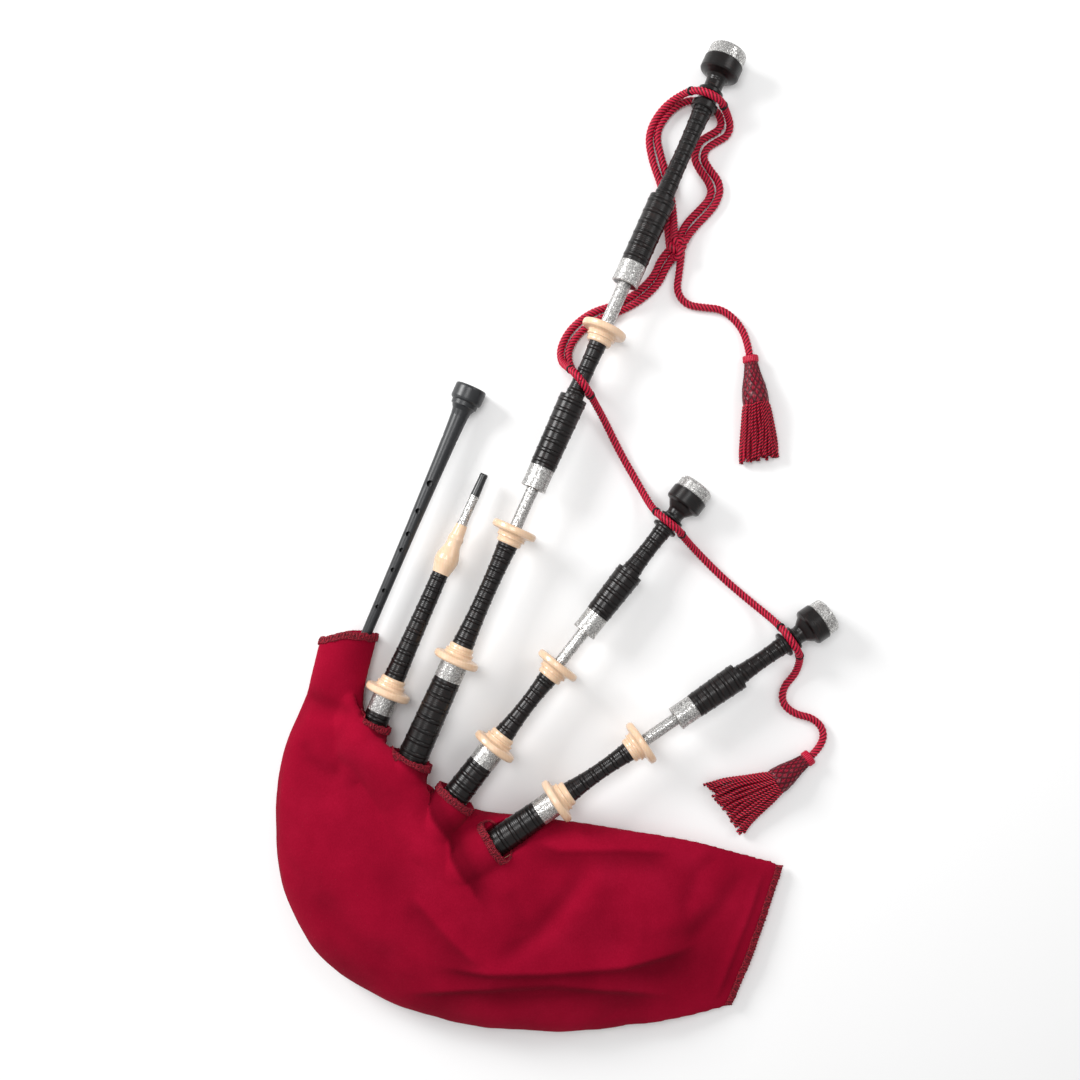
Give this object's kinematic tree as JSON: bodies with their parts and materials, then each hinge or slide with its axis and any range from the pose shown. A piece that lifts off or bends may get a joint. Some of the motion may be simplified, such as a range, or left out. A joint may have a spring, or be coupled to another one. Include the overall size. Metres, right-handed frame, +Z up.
{
  "type": "bagpipes",
  "caption": "Great Highland bagpipes laid flat: covered bag, combed drones with cream mounts and engraved metal slides, blowpipe, chanter, crimson cord and tassels.",
  "frame": {"origin": "centre of the bounding box in X and Y, on the surface that the set lies on", "axes": "+Z up from the surface, +Y from the bag towards the bass drone's bell, +X from the blowpipe side towards the tenor drones' bells"},
  "size_m": [0.6778, 1.1932, 0.0811],
  "materials": {
    "crimson_velvet": "short-pile velvet",
    "crimson_braid": "braided gimp",
    "crimson_cord": "twisted silk",
    "hide": "undyed, suede side out",
    "blackwood": "oiled and polished",
    "silver": "polished and engraved",
    "imitation_ivory": "polished, faintly grained",
    "black_plastic": "polished",
    "chanter_plastic": "satin",
    "valve_rubber": "moulded",
    "hemp": "waxed hemp winding",
    "waxed_thread": "waxed thread",
    "black_thread": "whipping thread",
    "cane": "bare cane"
  },
  "bodies": {
    "bag_and_stocks": {"bag_cover": "crimson_velvet", "bag": "hide", "cover_trims": "crimson_braid", "stock_ferrules": "silver", "stock_ties": "waxed_thread", "bass_stock": "blackwood", "inner_tenor_stock": "blackwood", "outer_tenor_stock": "blackwood", "blowpipe_stock": "blackwood", "chanter_stock": "blackwood", "bass_bottom_joint": "blackwood", "bass_bottom_mounts": "imitation_ivory", "bass_lower_tuning_slide": "silver", "inner_tenor_bottom_joint": "blackwood", "inner_tenor_bottom_mounts": "imitation_ivory", "inner_tenor_tuning_slide": "silver", "outer_tenor_bottom_joint": "blackwood", "outer_tenor_bottom_mounts": "imitation_ivory", "outer_tenor_tuning_slide": "silver", "drone_reeds": "cane", "reed_bridles": "waxed_thread", "root_hemp": "hemp", "cord_knot": "crimson_cord", "cord_long_run": "crimson_cord", "cord_loop_back": "crimson_cord", "cord_loop_front": "crimson_cord", "cord_return_run": "crimson_cord", "cord_ties": "black_thread", "cord_upper_run": "crimson_cord", "lower_tassel": "crimson_cord", "upper_tassel": "crimson_cord"},
    "bass_middle": {"bass_middle_joint": "blackwood", "bass_middle_ferrule": "silver", "bass_middle_mount": "imitation_ivory", "bass_upper_tuning_slide": "silver", "bass_upper_hemp": "hemp"},
    "bass_top": {"bass_top_joint": "blackwood", "bass_top_ferrule": "silver", "bass_bell_cap": "silver"},
    "inner_tenor_top": {"inner_tenor_top_joint": "blackwood", "inner_tenor_top_ferrule": "silver", "inner_tenor_bell_cap": "silver"},
    "outer_tenor_top": {"outer_tenor_top_joint": "blackwood", "outer_tenor_top_ferrule": "silver", "outer_tenor_bell_cap": "silver"},
    "blowpipe": {"blowpipe": "blackwood", "blowpipe_hemp": "hemp", "blowpipe_mount": "imitation_ivory", "mouthpiece_bulb": "imitation_ivory", "mouthpiece_sleeve": "silver", "mouthpiece_tip": "black_plastic"},
    "valve": {"valve_flap": "valve_rubber"},
    "chanter": {"chanter": "chanter_plastic", "chanter_hemp": "hemp", "chanter_reed": "cane"}
  },
  "joints": [
    {"name": "bass_lower_tuning", "type": "slide", "parent": "bag_and_stocks", "child": "bass_middle", "axis": [0.4084, 0.9125, -0.0223], "range_m": [-0.048, 0.02], "deforming": ["cord_long_run", "cord_return_run", "cord_ties"]},
    {"name": "bass_upper_tuning", "type": "slide", "parent": "bass_middle", "child": "bass_top", "axis": [0.4084, 0.9125, -0.0223], "range_m": [-0.05, 0.02], "deforming": ["cord_loop_front", "cord_loop_back"]},
    {"name": "inner_tenor_tuning", "type": "slide", "parent": "bag_and_stocks", "child": "inner_tenor_top", "axis": [0.6169, 0.7855, -0.05], "range_m": [-0.045, 0.018]},
    {"name": "outer_tenor_tuning", "type": "slide", "parent": "bag_and_stocks", "child": "outer_tenor_top", "axis": [0.8289, 0.5562, -0.0599], "range_m": [-0.045, 0.018]},
    {"name": "blowpipe_twist", "type": "hinge", "parent": "bag_and_stocks", "child": "blowpipe", "pos_m": [-0.2067, -0.1926, 0.034], "axis": [0.4011, 0.9148, -0.048], "continuous": true},
    {"name": "valve_hinge", "type": "hinge", "parent": "blowpipe", "child": "valve", "pos_m": [-0.22032, -0.22366, 0.04274], "axis": [-0.9158, 0.4016, 0], "range_deg": [0, 60]},
    {"name": "chanter_tenon_slide", "type": "slide", "parent": "bag_and_stocks", "child": "chanter", "axis": [0.3923, 0.9198, -0.0052], "range_m": [0, 0.014]}
  ]
}
